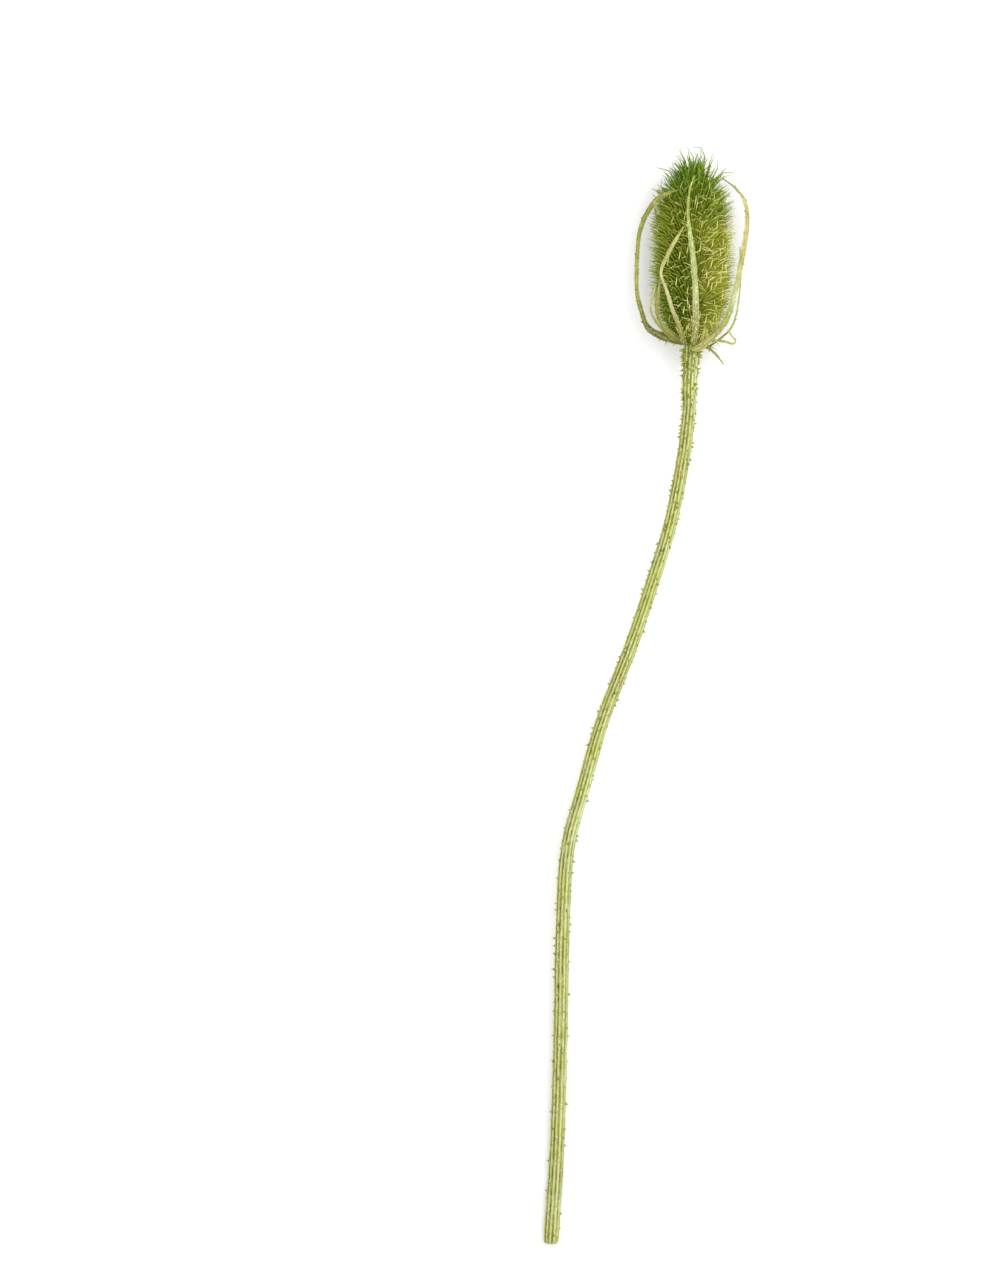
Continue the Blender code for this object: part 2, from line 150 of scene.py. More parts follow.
# Long dry hairs on the crown: right of the axis, in front of it, and height, from point to point.
CROWN_HAIRS = (
    ((-1.2, 0.8, 65.0), (-2.7, 1.2, 72.3), (-5.0, 1.5, 76.6), (-2.9, 2.0, 79.4)),
    ((1.0, 1.2, 64.6), (0.4, 1.6, 74.0), (-2.8, 2.0, 79.5)),
    ((0.4, 0.0, 65.5), (-1.2, 0.0, 74.5), (-1.8, 0.4, 78.0)),
    ((2.8, 0.8, 63.6), (4.8, 1.6, 71.2), (5.0, 2.0, 74.2), (3.6, 2.4, 77.6), (-2.2, 2.8, 77.7)),
    ((4.2, 0.5, 61.6), (6.8, 0.8, 70.8), (9.1, 1.0, 77.6)),
    ((4.6, 1.4, 60.6), (7.6, 2.0, 71.4), (9.8, 2.2, 76.2)),
    ((5.6, -0.4, 60.4), (10.2, -0.4, 69.4), (10.2, -0.2, 74.4)),
    ((6.0, 1.0, 59.6), (12.5, 1.6, 67.7), (16.2, 1.9, 67.8), (17.6, 2.0, 66.5)),
    ((6.0, 2.0, 59.0), (12.7, 3.4, 66.1), (16.2, 4.0, 66.6)),
    ((5.6, -1.6, 60.0), (12.7, -2.6, 68.8), (14.9, -2.8, 70.5)),
    ((-1.8, 1.8, 63.4), (-4.4, 2.6, 68.8), (-6.7, 3.0, 71.4), (-8.7, 3.2, 70.0)),
    ((-4.2, 0.0, 62.0), (-7.7, 0.0, 67.7), (-9.8, 0.0, 70.0)),
    ((-4.6, 1.2, 61.0), (-9.1, 2.0, 68.2), (-12.6, 2.2, 69.3), (-16.2, 2.4, 70.1)),
    ((-4.6, 3.4, 60.0), (-7.7, 4.6, 64.5), (-11.4, 5.0, 67.8)),
    ((1.6, -2.4, 63.6), (2.6, -4.0, 74.0), (0.4, -5.2, 77.0)),
    ((-0.8, -3.2, 63.4), (-3.4, -6.0, 72.0), (-2.6, -8.0, 75.0)),
)
# Curled pale hairs between the bracts, at the front of the head's base.
BASE_HAIRS = (
    ((-2.0, 4.4, 1.0), (-2.6, 9.6, 4.4), (-2.3, 10.6, 6.4), (-1.6, 10.8, 6.0), (-1.6, 10.0, 3.4)),
    ((-2.8, 4.2, 0.8), (-3.4, 8.8, 2.2), (-3.0, 9.4, 3.6), (-3.5, 9.6, 4.8)),
    ((0.7, 4.8, 0.6), (1.6, 9.2, 1.6), (2.0, 10.4, 4.2), (1.4, 10.8, 5.6)),
    ((1.8, 4.6, 0.8), (2.6, 9.0, 1.8), (3.4, 10.0, 3.2)),
    ((-0.7, 6.6, 4.0), (-0.4, 14.4, 9.0), (-0.9, 15.4, 10.8)),
    ((-3.6, 4.2, 1.4), (-5.8, 9.6, 4.2), (-6.6, 10.4, 5.6), (-7.4, 10.2, 5.2)),
    ((-1.6, 8.8, 10.0), (-2.2, 17.0, 16.6), (-2.0, 17.4, 18.0)),
    ((-0.8, 8.6, 9.0), (-1.4, 16.6, 14.4), (-1.8, 17.0, 15.4)),
    ((3.0, 4.0, 1.0), (6.2, 8.4, 2.6), (5.6, 9.6, 4.6)),
)
HAIR_RADIUS = 0.4
HAIR_CORNERS = 5
HAIR_TAPER = 0.7
# Which part of a bristle's colours each kind of hair takes, as distances along the bristle,
# and which part of a thorn's a spine takes.
CROWN_HAIR_SPAN = (3.0, 8.6)
BASE_HAIR_SPAN = (7.0, 10.6)
SPINE_SPAN = (0.0, 0.6)

STEM_PATH = (
    (-0.1, -0.6, 3.3),
    (-0.5, -7.0, 3.1),
    (-1.0, -16.0, 2.95),
    (-1.3, -28.4, 2.8),
    (-3.8, -48.4, 2.75),
    (-9.0, -74.0, 2.75),
    (-16.4, -98.0, 2.75),
    (-24.8, -122.8, 2.75),
    (-35.6, -151.0, 2.75),
    (-43.6, -179.0, 2.8),
    (-49.8, -203.2, 2.85),
    (-51.8, -236.0, 2.9),
    (-52.6, -278.0, 2.95),
    (-54.0, -322.0, 3.0),
    (-56.4, -361.2, 3.1),
)
STEM_END_HEIGHT = 3.1
STEM_STEPS = 13
STEM_RIBS = 11
RIB_CORNERS = 6
GROOVE_DEPTH = 0.15
GROOVES_DEEPER_LEFT = 0.5
RIB_ROUNDNESS = 0.6
THORN_COUNT = 520
FIRST_THORN = -3.2
LAST_THORN = -357.0
THORN_THINNING = 2.2
THORN_LENGTHS = (0.6, 1.7)
# How much longer thorns are, by how far below the head they stand.
THORNS_LONGER = ((0.0, 1.45), (10.0, 1.25), (40.0, 1.0))
THORN_BREADTH = 0.9
# One thorn stands about this many ribs round from the last, with its foot sunk in the rib.
RIBS_TO_NEXT_THORN = 4
THORN_FOOT = 0.96
THORN_STRAY = 0.1
THORN_TILT = 0.3
RIB_DRIFT = 0.05
STEM_UNEVEN = 0.06
STEM_GRAIN = 1.0
STEM_GRAIN_DEPTH = 0.34
PITH_MARGIN = 0.8
COLLAR_LENGTH = 14.0
FLOOR_CLEARANCE = 0.3

# A thorn of height 1: how high each ring is, half its width, half its length along the stalk.
THORN_RINGS = (
    (-0.45, 0.40, 0.95),
    (-0.1, 0.36, 0.80),
    (0.1, 0.27, 0.52),
    (0.3, 0.19, 0.30),
    (0.64, 0.10, 0.13),
)
THORN_CORNERS = 8
# How far each kind of thorn leans along the stalk at its tip.
THORN_LEANS = (-0.45, -0.15, 0.35)
# The same for the fine teeth on a bract.
TOOTH_RINGS = ((-0.4, 0.22, 0.42), (0.15, 0.17, 0.30), (0.55, 0.09, 0.12))
TOOTH_CORNERS = 5
TOOTH_LEAN = -0.25

# Each bract's line round the head's axis: azimuth in degrees (0 right, 90 front), distance
# from the axis, height, and the blade's width there.
BRACTS = {
    "bract_left_outer": (
        (181, 3.9, 0.2, 2.4),
        (181, 6.2, 0.6, 3.2),
        (183, 9.6, 1.5, 3.4),
        (187, 14.6, 3.5, 3.1),
        (187, 17.9, 6.1, 2.5),
        (186, 20.0, 11.4, 2.0),
        (185, 22.0, 19.5, 1.8),
        (183, 22.2, 29.0, 1.8),
        (178, 21.7, 37.8, 1.9),
        (164, 21.4, 45.4, 2.1),
        (150, 20.6, 51.6, 2.3),
        (136, 19.6, 56.5, 2.1),
        (121, 18.9, 58.9, 1.5),
        (110, 18.6, 59.8, 0.5),
    ),
    "bract_front_kinked": (
        (128, 3.9, -0.9, 1.8),
        (120, 6.6, -0.4, 2.3),
        (115, 9.4, 1.8, 2.3),
        (115, 13.4, 6.8, 2.0),
        (119, 17.0, 12.8, 1.8),
        (123, 18.6, 19.2, 1.6),
        (131, 19.3, 27.2, 1.3),
        (122, 19.2, 33.8, 1.7),
        (112, 19.2, 39.6, 1.5),
        (101, 18.9, 45.4, 0.5),
    ),
    "bract_left_inner": (
        (145, 3.9, 0.4, 1.8),
        (144, 6.8, 1.4, 2.5),
        (143, 11.6, 4.0, 2.5),
        (147, 14.8, 7.2, 2.1),
        (145, 17.2, 11.6, 1.8),
        (138, 18.8, 17.4, 1.7),
        (133, 19.2, 24.6, 0.6),
    ),
    "bract_left_thin": (
        (166, 3.9, 0.2, 0.9),
        (161, 7.6, 1.0, 1.3),
        (156, 11.8, 3.8, 1.3),
        (154, 16.0, 7.6, 1.1),
        (151, 19.0, 12.6, 1.0),
        (142, 20.2, 18.0, 0.9),
        (136, 20.4, 22.4, 0.5),
    ),
    "bract_front_centre": (
        (86, 3.9, -0.9, 1.9),
        (85, 6.4, -0.7, 2.3),
        (85, 9.6, 1.6, 2.6),
        (85, 13.6, 6.2, 2.7),
        (86, 17.3, 13.0, 2.6),
        (87, 18.8, 20.8, 2.4),
        (90, 19.3, 33.8, 2.1),
        (94, 19.3, 44.0, 1.5),
        (96, 19.0, 52.0, 1.1),
        (94, 18.2, 60.0, 0.8),
        (88, 16.6, 65.6, 0.5),
    ),
    "bract_front_small": (
        (50, 3.9, -0.8, 1.1),
        (56, 6.3, 0.3, 1.3),
        (62, 8.9, 1.8, 1.3),
        (66, 11.7, 4.2, 1.2),
        (69, 13.5, 6.6, 0.6),
    ),
    "bract_right_outer": (
        (88, 4.2, -3.0, 2.0),
        (62, 7.2, -2.2, 2.7),
        (48, 11.0, 1.6, 2.8),
        (42, 15.4, 5.6, 2.6),
        (39, 18.6, 10.8, 2.4),
        (34, 20.2, 19.0, 2.1),
        (24, 21.2, 31.0, 2.1),
        (14, 22.0, 41.8, 2.0),
        (5, 22.2, 51.0, 1.9),
        (0, 20.6, 57.4, 1.6),
        (-8, 18.4, 60.8, 1.3),
        (-28, 17.5, 63.6, 1.0),
        (-42, 16.6, 66.0, 0.5),
    ),
    "bract_right_rear": (
        (-22, 3.9, -2.5, 1.2),
        (-18, 7.6, -1.4, 1.4),
        (-16, 12.2, 1.8, 1.4),
        (-15, 16.4, 6.0, 1.3),
        (-17, 19.0, 13.0, 1.3),
        (-18, 20.4, 22.8, 1.2),
        (-19, 20.6, 31.0, 1.0),
        (-19, 20.4, 38.0, 0.5),
    ),
    "bract_right_folded": (
        (5, 3.9, -0.9, 1.3),
        (7, 8.6, 0.4, 1.5),
        (4, 12.8, 0.2, 1.4),
        (0, 16.4, -0.7, 1.2),
        (-1, 17.4, 0.8, 1.1),
        (2, 15.8, 2.6, 0.9),
        (5, 14.5, 4.6, 0.5),
    ),
    "bract_lower_spike": (
        (32, 3.9, -2.2, 1.5),
        (23, 6.2, -2.0, 1.8),
        (17, 8.5, -3.7, 1.3),
        (12, 10.8, -6.2, 0.9),
        (10, 12.6, -8.9, 0.5),
    ),
    "bract_under_left": (
        (240, 3.9, -1.0, 1.9),
        (240, 6.8, -0.6, 2.6),
        (240, 11.4, 1.8, 2.4),
        (240, 16.2, 6.0, 2.2),
        (240, 19.6, 13.0, 2.0),
        (240, 20.8, 22.0, 1.9),
        (240, 21.0, 30.0, 1.9),
        (238, 20.8, 38.0, 1.8),
        (230, 20.2, 47.0, 1.5),
        (220, 19.2, 54.0, 0.5),
    ),
    "bract_under_right": (
        (300, 3.9, -1.0, 1.9),
        (300, 6.8, -0.6, 2.4),
        (300, 11.4, 1.8, 2.2),
        (300, 16.2, 6.0, 2.1),
        (300, 19.6, 13.0, 2.0),
        (300, 20.8, 22.0, 1.9),
        (300, 21.0, 30.0, 1.9),
        (303, 20.8, 38.0, 1.7),
        (308, 20.0, 45.0, 1.3),
        (312, 19.4, 49.0, 0.5),
    ),
    "bract_under_short": (
        (270, 3.9, -2.5, 1.3),
        (270, 7.2, -1.9, 1.7),
        (268, 11.2, 1.6, 1.5),
        (266, 14.4, 6.0, 1.2),
        (265, 16.6, 10.4, 0.5),
    ),
}
# How far each blade is rolled about its own line, at its base and at its tip.
BRACT_ROLLS = {
    "bract_left_outer": (85, 58),
    "bract_front_kinked": (10, 10),
    "bract_left_inner": (25, 10),
    "bract_left_thin": (30, 30),
    "bract_right_outer": (-78, -42),
    "bract_right_rear": (-40, -40),
    "bract_right_folded": (-35, -35),
    "bract_lower_spike": (-60, -30),
}
BRACT_STEPS = 6
# How close to the axis each bract starts, inside the stalk.
BRACT_ROOTED_AT = 2.4
BRACT_FACES_AWAY_FROM = (0, 0, 32)
# Long spines on the margins: right of the axis, in front of it, and height.
BRACT_SPINES = {
    "bract_left_outer": (
        ((-12.6, -1.4, 2.4), (-12.8, -1.2, 1.2), (-13.3, -1.0, -0.1)),
        ((-10.0, -0.8, 1.6), (-10.3, -0.6, 0.0), (-10.6, -0.4, -1.9)),
        ((-9.3, -0.4, 1.4), (-9.2, -0.2, 0.4), (-9.2, 0.0, -0.8)),
        ((-6.6, -0.2, 0.4), (-7.2, 0.0, -0.6), (-7.9, 0.2, -1.9)),
        ((-15.3, -1.9, 4.0), (-15.4, -1.7, 3.2), (-15.8, -1.6, 2.3)),
        ((-17.6, -2.2, 6.6), (-18.1, -2.1, 5.9), (-18.7, -2.0, 5.1)),
    ),
    "bract_right_outer": (
        ((8.6, 8.3, 2.9), (7.6, 10.6, 6.2), (6.1, 13.6, 9.3)),
        ((9.3, 8.8, 3.7), (9.6, 11.4, 7.6), (9.4, 12.9, 10.6), (8.5, 13.4, 11.5)),
        ((8.0, 7.9, 2.4), (9.4, 8.6, 0.2), (10.9, 8.2, -2.4)),
    ),
    "bract_lower_spike": (((6.0, 2.4, -2.2), (7.8, 2.8, -2.0), (10.2, 3.0, -3.6)),),
}
SPINE_RADIUS = 0.42
# Across a bract: a thin blade with a raised midrib outside and a shallow channel inside.
BLADE = (
    (-1.0, 0.06),
    (-0.62, 0.16),
    (-0.22, 0.30),
    (-0.10, 0.55),
    (0.10, 0.55),
    (0.22, 0.30),
    (0.62, 0.16),
    (1.0, 0.06),
    (0.95, -0.10),
    (0.45, -0.24),
    (0.0, -0.12),
    (-0.45, -0.24),
    (-0.95, -0.10),
)
TIP_THICKNESS = 0.7
TIP_LENGTH = 0.8
# Half the breadth of a blade laid out flat, for the run of its fibres.
FLAT_BLADE = 1.2
KEEL_HEIGHT = 0.45
MARGIN_WAVES = 0.6
MARGIN_DEPTH = 0.24
MARGIN_RUFFLE = 0.2
BRACT_GRAIN = 0.7
BRACT_GRAIN_DEPTH = 0.3
TOOTH_EVERY = 0.7
TOOTH_LENGTHS = (0.22, 0.55)
LONG_TOOTH = 2.2
LONG_TOOTH_SHARE = 0.12
# How far along a blade its teeth go, and how far from its middle they stand, as shares.
TEETH_REACH = 0.92
MARGIN_AT = 0.46

# Colours as seen on a screen, from 0 to 255.
COLOURS = {
    "shaded_green": (96, 116, 8),
    "scale_green": (124, 140, 16),
    "bristle_olive": (148, 162, 34),
    "bristle_yellow": (178, 184, 60),
    # Painted light on the head's lower right side.
    "painted_light_olive": (198, 198, 68),
    "bristle_tip": (228, 224, 150),
    "crown_shade": (66, 100, 8),
    "crown_green": (84, 124, 14),
    "fresh_green": (112, 148, 30),
    "straw": (177, 181, 110),
    # Cream is also the painted highlight on the stalk's rib crests.
    "cream": (236, 230, 184),
    # The painted shade in the stalk's grooves.
    "groove": (96, 98, 18),
    "mint": (178, 206, 130),
    "pale_mint": (204, 216, 158),
    "dark_olive": (92, 92, 22),
    "olive": (134, 138, 44),
    "yellow_olive": (168, 174, 62),
    "lime": (198, 206, 88),
    "beige": (218, 210, 134),
    "khaki": (156, 154, 76),
    "stalk_shade": (124, 130, 58),
    "thorn_root": (106, 116, 32),
    "thorn_tip": (194, 190, 104),
    "collar_green": (104, 122, 38),
    "speck": (88, 88, 14),
}
# Colours along a bristle, and along one on the crown.
BRISTLE_COLOURS = (
    (0.0, "shaded_green"),
    (0.25, "scale_green"),
    (0.55, "bristle_olive"),
    (0.8, "bristle_yellow"),
)
CROWN_BRISTLE_COLOURS = ((0.0, "crown_shade"), (0.35, "crown_green"), (0.85, "fresh_green"))
# Colours along each bract, from its base to its tip, at equal steps.
BRACT_COLOURS = {
    "bract_left_outer": ("dark_olive", "dark_olive", "yellow_olive", "yellow_olive", "olive", "olive"),
    "bract_front_kinked": ("dark_olive", "khaki", "cream", "beige", "lime"),
    "bract_left_inner": ("dark_olive", "olive", "olive", "khaki", "khaki"),
    "bract_left_thin": ("olive", "khaki", "yellow_olive", "beige", "beige"),
    "bract_front_centre": ("olive", "khaki", "pale_mint", "mint", "lime", "lime"),
    "bract_front_small": ("beige", "lime", "lime", "lime", "yellow_olive"),
    "bract_right_outer": ("beige", "khaki", "pale_mint", "beige", "beige", "beige", "yellow_olive"),
    "bract_right_rear": ("olive", "khaki", "beige", "beige", "lime"),
    "bract_right_folded": ("khaki", "beige", "lime", "beige", "lime"),
    "bract_lower_spike": ("dark_olive", "olive", "olive", "khaki", "khaki"),
    "bract_under_left": ("olive", "khaki", "beige", "yellow_olive", "olive"),
    "bract_under_right": ("dark_olive", "olive", "khaki", "beige", "yellow_olive"),
    "bract_under_short": ("dark_olive", "olive", "olive", "khaki", "khaki"),
}
# How strongly the stem, most bracts and the rougher bracts are mottled.
STEM_MOTTLE = 0.5
BRACT_MOTTLE = 0.4
MOTTLED_BRACTS = {"bract_front_centre": 0.9, "bract_front_kinked": 0.6, "bract_right_outer": 0.5}
# Where the head's colours change, from the base of the head: to the right, and upwards. The first two
# place painted light: the head is painted lighter and yellower to its lower right, and its pale bent
# ends are paler low down.
PAINTED_LIGHT_SIDE = (-5, 9)
PAINTED_LIGHT_FADES = (36, 66)
CROWN_BEGINS = (47, 66)
# Where along a bristle its bent end turns pale, as shares of its length.
PALE_END = (0.76, 0.81)
# What a bristle's colour is multiplied by, from the lowest tint to the highest.
BRISTLE_SHADES = ((0.0, (0.72, 0.74, 0.70, 1)), (1.0, (1.0, 1.0, 1.0, 1)))
# How close the grain is across and along the straight stalk, for each kind of grain.
FINE_FIBRE = (2200, 2200, 160)
COARSE_FIBRE = (700, 700, 90)
CRUMPLES = (1300, 1300, 700)
GREEN_DRIFTS = (300, 300, 30)
GROOVE_BREAKS = (500, 500, 260)
# Roughness of each finish: of a bristle at its root and at its tip, and of the others.
BRISTLE_ROUGHNESS = (0.85, 0.6)
STALK_ROUGHNESS = 0.72
BLADE_ROUGHNESS = 0.7
PAPER_ROUGHNESS = 0.9
DRY_GLOSS = 0.2
# How strongly the grain stands up, and how high in metres.
BRISTLE_BUMP = (0.5, 0.0001)
STALK_BUMP = (0.8, 0.0003)

FRAME_CENTRE = (500, 635)
HEAD_BASE_PIXEL = (692, 342)
MM_PER_PIXEL = 0.4
FRAME_HEIGHT_PIXELS = 1270
CAMERA_DISTANCE = 4000
CAMERA_REACH = 20
SENSOR = 36
# Lamps: name, place and size in metres, and power.
LAMPS = (
    ("key_softbox", (0.6, 0.6, 1.1), 0.9, 6),
    ("top_softbox", (-0.1, 0.0, 1.7), 1.8, 17),
)
SKY_STRENGTH = 0.8
FLOOR_SIZE = 6
PAPER_GRAIN = 300.0
PAPER_GREYS = ((0.3, 0.93), (0.7, 0.95))


def screen(name):
    """A colour as the shaders take it."""
    shares = (value / 255 for value in COLOURS[name])
    return tuple(s / 12.92 if s <= 0.04045 else ((s + 0.055) / 1.055) ** 2.4 for s in shares) + (1,)


def deselect():
    bpy.ops.object.select_all(action="DESELECT")


def value_at(table, place):
    """What a table of (place, value) pairs gives at a place between them."""
    places, values = zip(*table)
    return float(np.interp(place, places, values))


def round_axis(azimuth, radius, height):
    """A point by its azimuth in degrees, distance from the head's axis, and height along it."""
    turn = math.radians(azimuth)
    right, front = radius * math.cos(turn), radius * math.sin(turn)
    return beside_axis(right, front, height)


def beside_axis(right, front, height):
    return Vector((BASE_X + right, BASE_Y + height, AXIS_HEIGHT + front))


def through(points, steps):
    """Rows of numbers read from a smooth curve that passes through the given rows."""
    rows = np.array(points, float)
    padded = np.vstack([2 * rows[0] - rows[1], rows, 2 * rows[-1] - rows[-2]])
    curve = []
    for before, start, end, after in zip(padded, padded[1:], padded[2:], padded[3:]):
        for step in range(steps):
            s = step / steps
            curve.append(
                start
                + 0.5 * s * (end - before)
                + s * s * (before - 2.5 * start + 2 * end - 0.5 * after)
                + s * s * s * (1.5 * (start - end) + 0.5 * (after - before))
            )
    curve.append(rows[-1])
    return np.array(curve)


def run_along(points):
    """Each point of a line with the way the line runs there and how far along it is."""
    travelled = 0.0
    for behind, point, ahead in zip([points[0]] + points[:-1], points, points[1:] + [points[-1]]):
        travelled += (point - behind).length
        yield point, (ahead - behind).normalized(), travelled


def carried_frames(points):
    """Along a line: each point, the way it runs, a side and a face that turn no more than the
    line does, and how far along it is."""
    side = Vector((1, 0, 0))
    frames = []
    for point, along, travelled in run_along(points):
        side = (side - along * side.dot(along)).normalized()
        frames.append((point, along, side, side.cross(along), travelled))
    return frames


def round_outline(wide, long, corners):
    turns = [math.tau * corner / corners for corner in range(corners)]
    return [(wide * math.cos(turn), long * math.sin(turn)) for turn in turns]


def ring_of(centre, side, face, along, outline):
    """Corners of one ring, from an outline of (to the side, to the face) pairs. Each has its
    place, and its place on the form laid out straight."""
    return [(centre + side * x + face * y, Vector((x, y, along))) for x, y in outline]


def draw_out(name, rings):
    """A form drawn out in edit mode: a filled circle is set on the first ring, then extruded
    from ring to ring. Edit mode stays on, with the last ring selected."""
    deselect()
    bpy.ops.mesh.primitive_circle_add(vertices=len(rings[0]), radius=MM, fill_type="NGON")
    piece = bpy.context.object
    piece.name = name
    bpy.ops.object.mode_set(mode="EDIT")
    cage = bmesh.from_edit_mesh(piece.data)
    corner = cage.verts.layers.int.new("corner")
    cage.verts.layers.float_vector.new("straight")
    for number, vert in enumerate(cage.verts):
        vert[corner] = number
    for number, ring in enumerate(rings):
        if number:
            bpy.ops.mesh.extrude_region_move()
        cage = bmesh.from_edit_mesh(piece.data)
        corner = cage.verts.layers.int["corner"]
        straight = cage.verts.layers.float_vector["straight"]
        for vert in cage.verts:
            if vert.select:
                place, flat = ring[vert[corner]]
                vert.co = place * MM
                vert[straight] = flat * MM
        bmesh.update_edit_mesh(piece.data)
    return piece


def close_form(piece, to_point=True):
    """Ends what draw_out began: the last ring is merged to a point, and the faces turn out."""
    if to_point:
        bpy.ops.mesh.merge(type="COLLAPSE")
    bpy.ops.mesh.select_all(action="SELECT")
    bpy.ops.mesh.normals_make_consistent(inside=False)
    bpy.ops.object.mode_set(mode="OBJECT")
    piece.data.attributes.remove(piece.data.attributes["corner"])
    bpy.ops.object.shade_smooth()
    return piece


def apply(piece, kind, **settings):
    modifier = piece.modifiers.new(kind.lower(), kind)
    for key, value in settings.items():
        setattr(modifier, key, value)
    deselect()
    bpy.context.view_layer.objects.active = piece
    bpy.ops.object.modifier_apply(modifier=modifier.name)


def roughen(piece, grain, depth):
    """Rounds a form off, and makes its surface uneven as dry stalk is."""
    bumps = bpy.data.textures.new(piece.name + "_bumps", "CLOUDS")
    bumps.noise_scale = grain * MM
    bumps.noise_depth = 2
    apply(piece, "SUBSURF", levels=1, render_levels=1)
    apply(piece, "DISPLACE", texture=bumps, strength=depth * MM, mid_level=0.5)


def keep_off_table(mesh):
    """Presses flat what would go through the surface that the piece lies on."""
    places = np.empty(len(mesh.vertices) * 3, np.float32)
    mesh.vertices.foreach_get("co", places)
    heights = places[2::3]
    np.maximum(heights, TABLE_GAP * MM, out=heights)
    mesh.vertices.foreach_set("co", places)


def add_copy(model, matrix, tint):
    """A copy with a mesh of its own, moved in that mesh, and with its share of the tint."""
    mesh = model.data.copy()
    mesh.transform(matrix)
    keep_off_table(mesh)
    copy = bpy.data.objects.new(model.name, mesh)
    bpy.context.collection.objects.link(copy)
    set_tint(copy, tint)
    return copy


def set_tint(piece, tint):
    shade = piece.data.attributes.new("tint", "FLOAT", "POINT")
    shade.data.foreach_set("value", [tint] * len(piece.data.vertices))


def join(piece, copies):
    deselect()
    for copy in copies:
        copy.select_set(True)
    piece.select_set(True)
    bpy.context.view_layer.objects.active = piece
    bpy.ops.object.join()


def remove(*models):
    for model in models:
        bpy.data.objects.remove(model)


def aimed(root, direction, up, breadth, length):
    """Places a model that points along +Z with its back towards +Y, with its root at a point."""
    aim = direction.normalized()
    side = up.cross(aim).normalized()
    turn = Matrix((side, aim.cross(side), aim)).transposed().to_4x4()
    grow = Matrix.Diagonal((breadth, breadth, length, 1))
    return Matrix.Translation(root * MM) @ turn @ grow


def model_bristle(name, bow, to_side, to_back):
    """One scale of the head: a boat shaped base that narrows to a stiff bristle with a bent end."""
    rings = []
    corners = len(BOAT)
    for distance, half, thick in SCALE_RINGS:
        share = max(distance, 0) / SCALE_LENGTH
        past = max(distance - KINK_AT, 0)
        centre = Vector((to_side * past, bow * 4 * share * (1 - share) + to_back * past, distance))
        outline = []
        for (x, y), (awn_x, awn_y) in zip(BOAT, round_outline(-half, -half, 2 * corners - 2)):
            flat = (1 - share) * x * half + share * awn_x
            outline.append((flat, (1 - share) * y * thick + share * awn_y))
        rings.append(ring_of(centre, Vector((1, 0, 0)), Vector((0, 1, 0)), distance, outline))
    past = SCALE_LENGTH - KINK_AT
    tip = Vector((to_side * past, to_back * past, SCALE_LENGTH))
    rings.append([(tip, Vector((0, 0, SCALE_LENGTH)))] * corners)
    return close_form(draw_out(name, rings))


def model_prickle(name, ring_sizes, corners, lean):
    """A prickle of height 1 with a flared foot, whose tip leans along the stalk."""
    rings = []
    for height, wide, long in ring_sizes:
        centre = Vector((0, lean * max(height, 0) ** 2, height))
        outline = round_outline(wide, long, corners)
        rings.append(ring_of(centre, Vector((1, 0, 0)), Vector((0, 1, 0)), height, outline))
    rings.append([(Vector((0, lean, 1)), Vector((0, 0, 1)))] * corners)
    return close_form(draw_out(name, rings))


def make_hair(name, points, radius, span):
    """A long dry hair or spine through the given points, thinner towards its tip. It takes its
    colours from a span of the bristle's or thorn's."""
    points = [beside_axis(*point) for point in points]
    length = sum((b - a).length for a, b in zip(points, points[1:]))
    rings = []
    for point, along, side, face, travelled in carried_frames(points):
        share = travelled / length
        slim = radius * (1 - HAIR_TAPER * share)
        outline = round_outline(slim, slim, HAIR_CORNERS)
        laid = span[0] + (span[1] - span[0]) * share
        rings.append(ring_of(point, side, face, laid, outline))
    rings[-1] = [(points[-1], Vector((0, 0, span[1])))] * HAIR_CORNERS
    hair = close_form(draw_out(name, rings))
    set_tint(hair, HAIR_TINT)
    return hair


def make_core():
    """The receptacle that the scales grow from."""
    rings = []
    side, face = Vector((1, 0, 0)), Vector((0, 0, 1))
    for height, radius in CORE_OUTLINE:
        outline = round_outline(radius, radius, CORE_CORNERS)
        rings.append(ring_of(beside_axis(0, 0, height), side, face, 0, outline))
    core = close_form(draw_out("seed_head", rings))
    set_tint(core, CORE_TINT)
    return core


def bristle_heights(count):
    """Heights of the bristles' roots, an equal share of the core's skin to each."""
    heights = np.linspace(BRISTLE_LOWEST, CORE_OUTLINE[-1][0], SKIN_SAMPLES)
    radii = np.interp(heights, *zip(*CORE_OUTLINE))
    slant = np.hypot(np.diff(heights), np.diff(radii))
    skin = np.concatenate([[0], np.cumsum(slant * (radii[1:] + radii[:-1]) / 2)])
    shares = (np.arange(count) + 0.5) / count
    return np.interp(shares * skin[-1], skin, heights)


def bristle_length(height, rise):
    """How long a bristle from this height is, to end on the outline of the tips."""
    radius = value_at(CORE_OUTLINE, height)
    short, long = 0.0, BRISTLE_LONGEST
    for _ in range(HALVINGS):
        middle = (short + long) / 2
        tip_height = height + middle * math.sin(rise)
        inside = radius + middle * math.cos(rise) < value_at(TIP_OUTLINE, tip_height)
        short, long = (middle, long) if inside else (short, middle)
    return short


